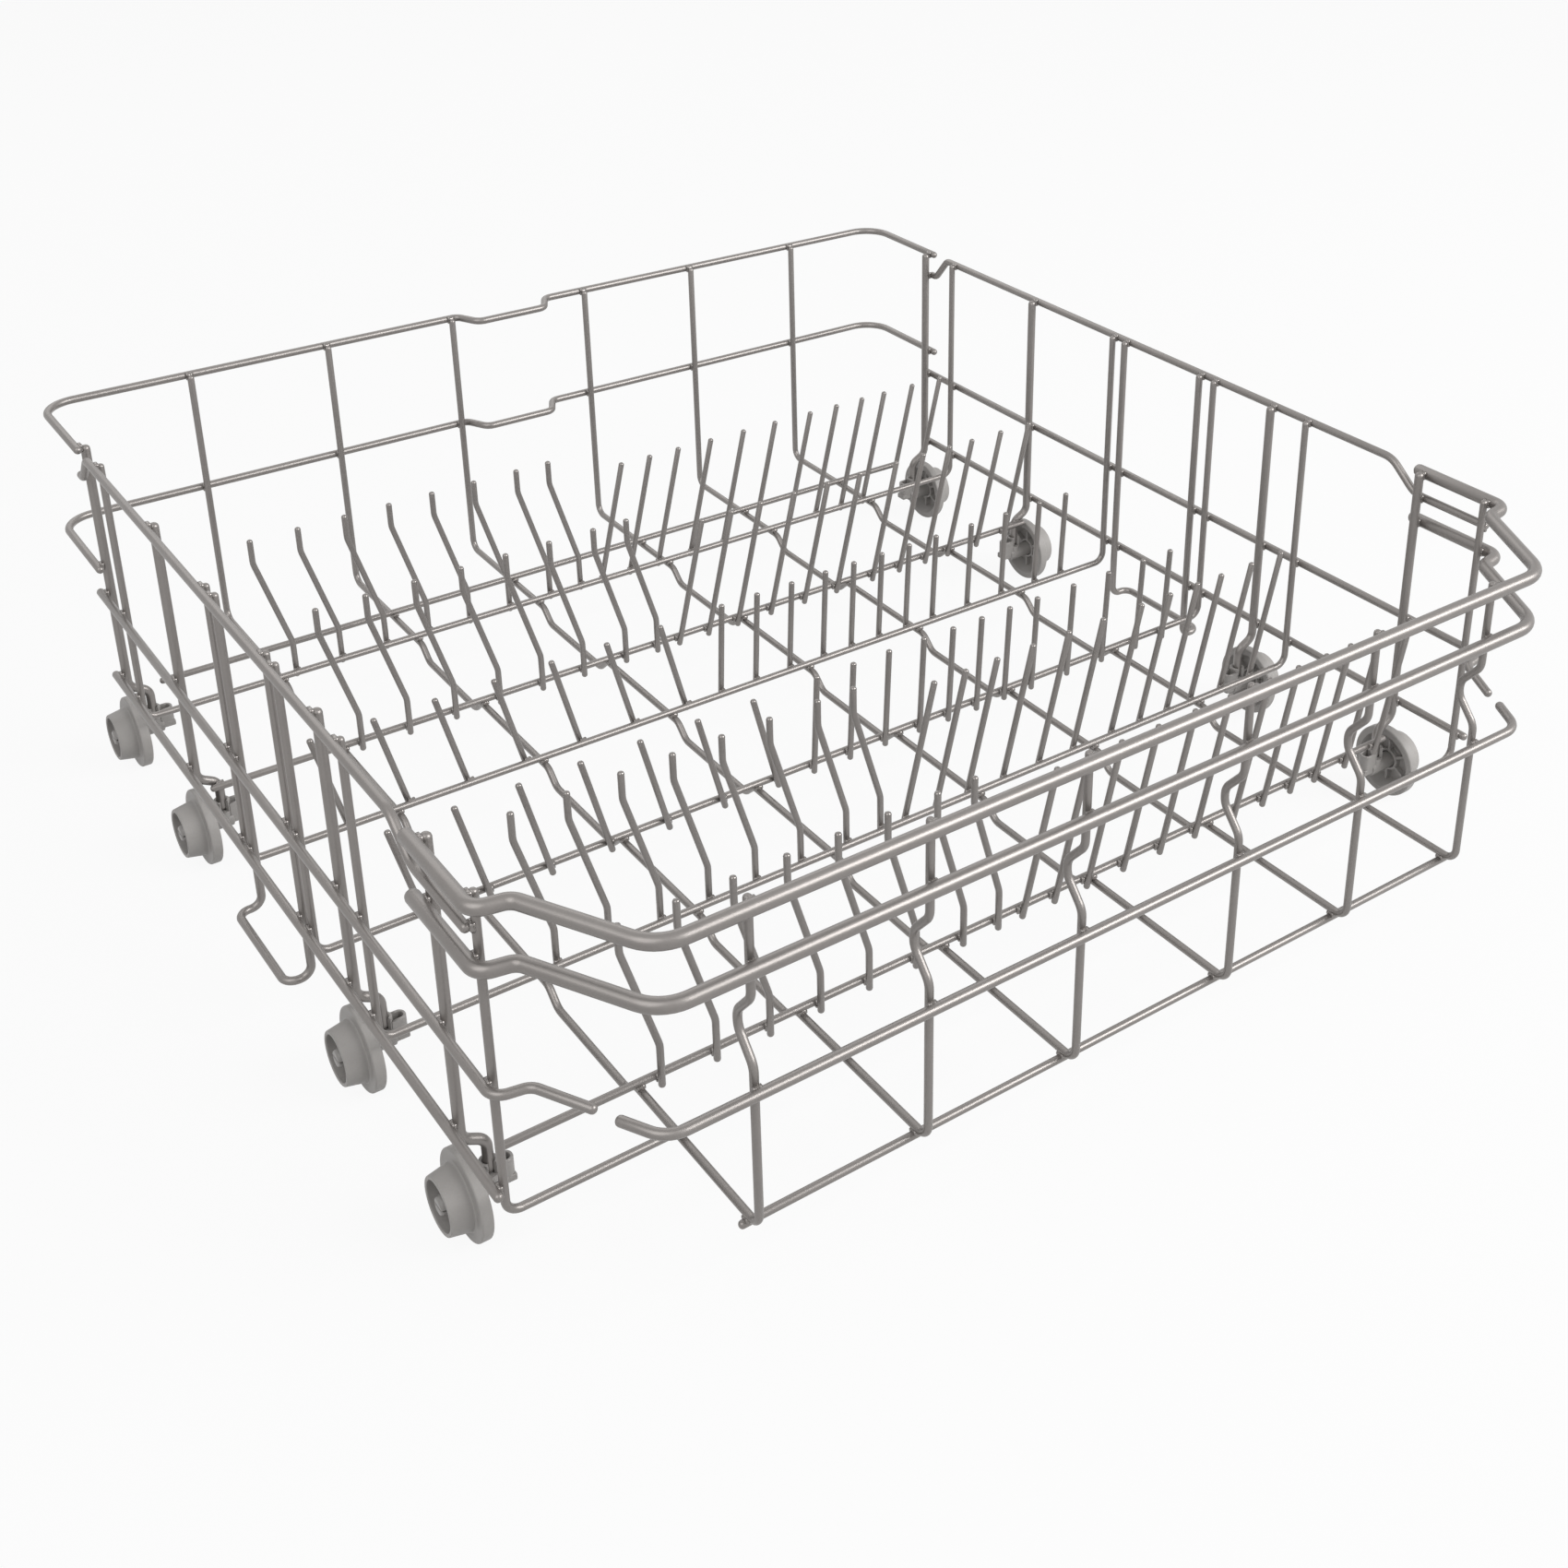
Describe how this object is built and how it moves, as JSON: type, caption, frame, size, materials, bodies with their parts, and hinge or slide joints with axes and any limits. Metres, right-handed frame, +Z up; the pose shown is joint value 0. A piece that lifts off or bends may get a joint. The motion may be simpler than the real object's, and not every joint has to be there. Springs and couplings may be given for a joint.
{
  "type": "dishwasher basket",
  "caption": "Open basket of coated wire with rows of plate tines, rails round four sides, guide loops and small flanged wheels on snap axles to roll in and out.",
  "frame": {"origin": "on the ground under the middle of the rack, midway between the wheels of both sides and midway between the back rail and the front bars", "axes": "+X to the right seen from the front, +Y from the front to the back, +Z up"},
  "size_m": [0.5266, 0.5608, 0.1796],
  "materials": {
    "coated_wire": "satin nylon coat over steel wire",
    "wheel_plastic": "moulded, matte",
    "clip_plastic": "moulded, matte"
  },
  "bodies": {
    "rack": {"back_mid_rail": "coated_wire", "back_stay": "coated_wire", "back_top_rail": "coated_wire", "cross_wire_1": "coated_wire", "cross_wire_2": "coated_wire", "cross_wire_3": "coated_wire", "cross_wire_4": "coated_wire", "cross_wire_5": "coated_wire", "front_lower_bar": "coated_wire", "front_sill_rail": "coated_wire", "front_stay": "coated_wire", "front_upper_bar": "coated_wire", "left_axle_clip_1": "clip_plastic", "left_axle_clip_2": "clip_plastic", "left_axle_clip_3": "clip_plastic", "left_axle_clip_4": "clip_plastic", "left_guide_loop": "coated_wire", "left_hanger_1": "coated_wire", "left_hanger_2": "coated_wire", "left_hanger_3": "coated_wire", "left_hanger_4": "coated_wire", "left_low_rail": "coated_wire", "left_mid_rail": "coated_wire", "left_top_rail": "coated_wire", "long_wire_1": "coated_wire", "long_wire_2": "coated_wire", "long_wire_3": "coated_wire", "long_wire_4": "coated_wire", "long_wire_5": "coated_wire", "long_wire_6": "coated_wire", "mid_stay": "coated_wire", "right_axle_clip_1": "clip_plastic", "right_axle_clip_2": "clip_plastic", "right_axle_clip_3": "clip_plastic", "right_axle_clip_4": "clip_plastic", "right_guide_loop": "coated_wire", "right_hanger_1": "coated_wire", "right_hanger_2": "coated_wire", "right_hanger_3": "coated_wire", "right_hanger_4": "coated_wire", "right_low_rail": "coated_wire", "right_mid_rail": "coated_wire", "right_top_rail": "coated_wire", "sill_wire": "coated_wire", "tine_row_1": "coated_wire", "tine_row_2": "coated_wire", "tine_row_3": "coated_wire", "tine_row_4": "coated_wire", "tine_row_5": "coated_wire", "tine_row_6": "coated_wire"},
    "left_wheel_1_body": {"left_wheel_1": "wheel_plastic"},
    "left_wheel_2_body": {"left_wheel_2": "wheel_plastic"},
    "left_wheel_3_body": {"left_wheel_3": "wheel_plastic"},
    "left_wheel_4_body": {"left_wheel_4": "wheel_plastic"},
    "right_wheel_1_body": {"right_wheel_1": "wheel_plastic"},
    "right_wheel_2_body": {"right_wheel_2": "wheel_plastic"},
    "right_wheel_3_body": {"right_wheel_3": "wheel_plastic"},
    "right_wheel_4_body": {"right_wheel_4": "wheel_plastic"}
  },
  "joints": [
    {"name": "left_wheel_1_spin", "type": "hinge", "parent": "rack", "child": "left_wheel_1_body", "pos_m": [-0.254, 0.2155, 0.0185], "axis": [1, 0, 0], "continuous": true},
    {"name": "left_wheel_2_spin", "type": "hinge", "parent": "rack", "child": "left_wheel_2_body", "pos_m": [-0.254, 0.1115, 0.0185], "axis": [1, 0, 0], "continuous": true},
    {"name": "left_wheel_3_spin", "type": "hinge", "parent": "rack", "child": "left_wheel_3_body", "pos_m": [-0.254, -0.0812, 0.0185], "axis": [1, 0, 0], "continuous": true},
    {"name": "left_wheel_4_spin", "type": "hinge", "parent": "rack", "child": "left_wheel_4_body", "pos_m": [-0.254, -0.1797, 0.0185], "axis": [1, 0, 0], "continuous": true},
    {"name": "right_wheel_1_spin", "type": "hinge", "parent": "rack", "child": "right_wheel_1_body", "pos_m": [0.254, 0.2155, 0.0185], "axis": [1, 0, 0], "continuous": true},
    {"name": "right_wheel_2_spin", "type": "hinge", "parent": "rack", "child": "right_wheel_2_body", "pos_m": [0.254, 0.1115, 0.0185], "axis": [1, 0, 0], "continuous": true},
    {"name": "right_wheel_3_spin", "type": "hinge", "parent": "rack", "child": "right_wheel_3_body", "pos_m": [0.254, -0.0812, 0.0185], "axis": [1, 0, 0], "continuous": true},
    {"name": "right_wheel_4_spin", "type": "hinge", "parent": "rack", "child": "right_wheel_4_body", "pos_m": [0.254, -0.1797, 0.0185], "axis": [1, 0, 0], "continuous": true}
  ]
}
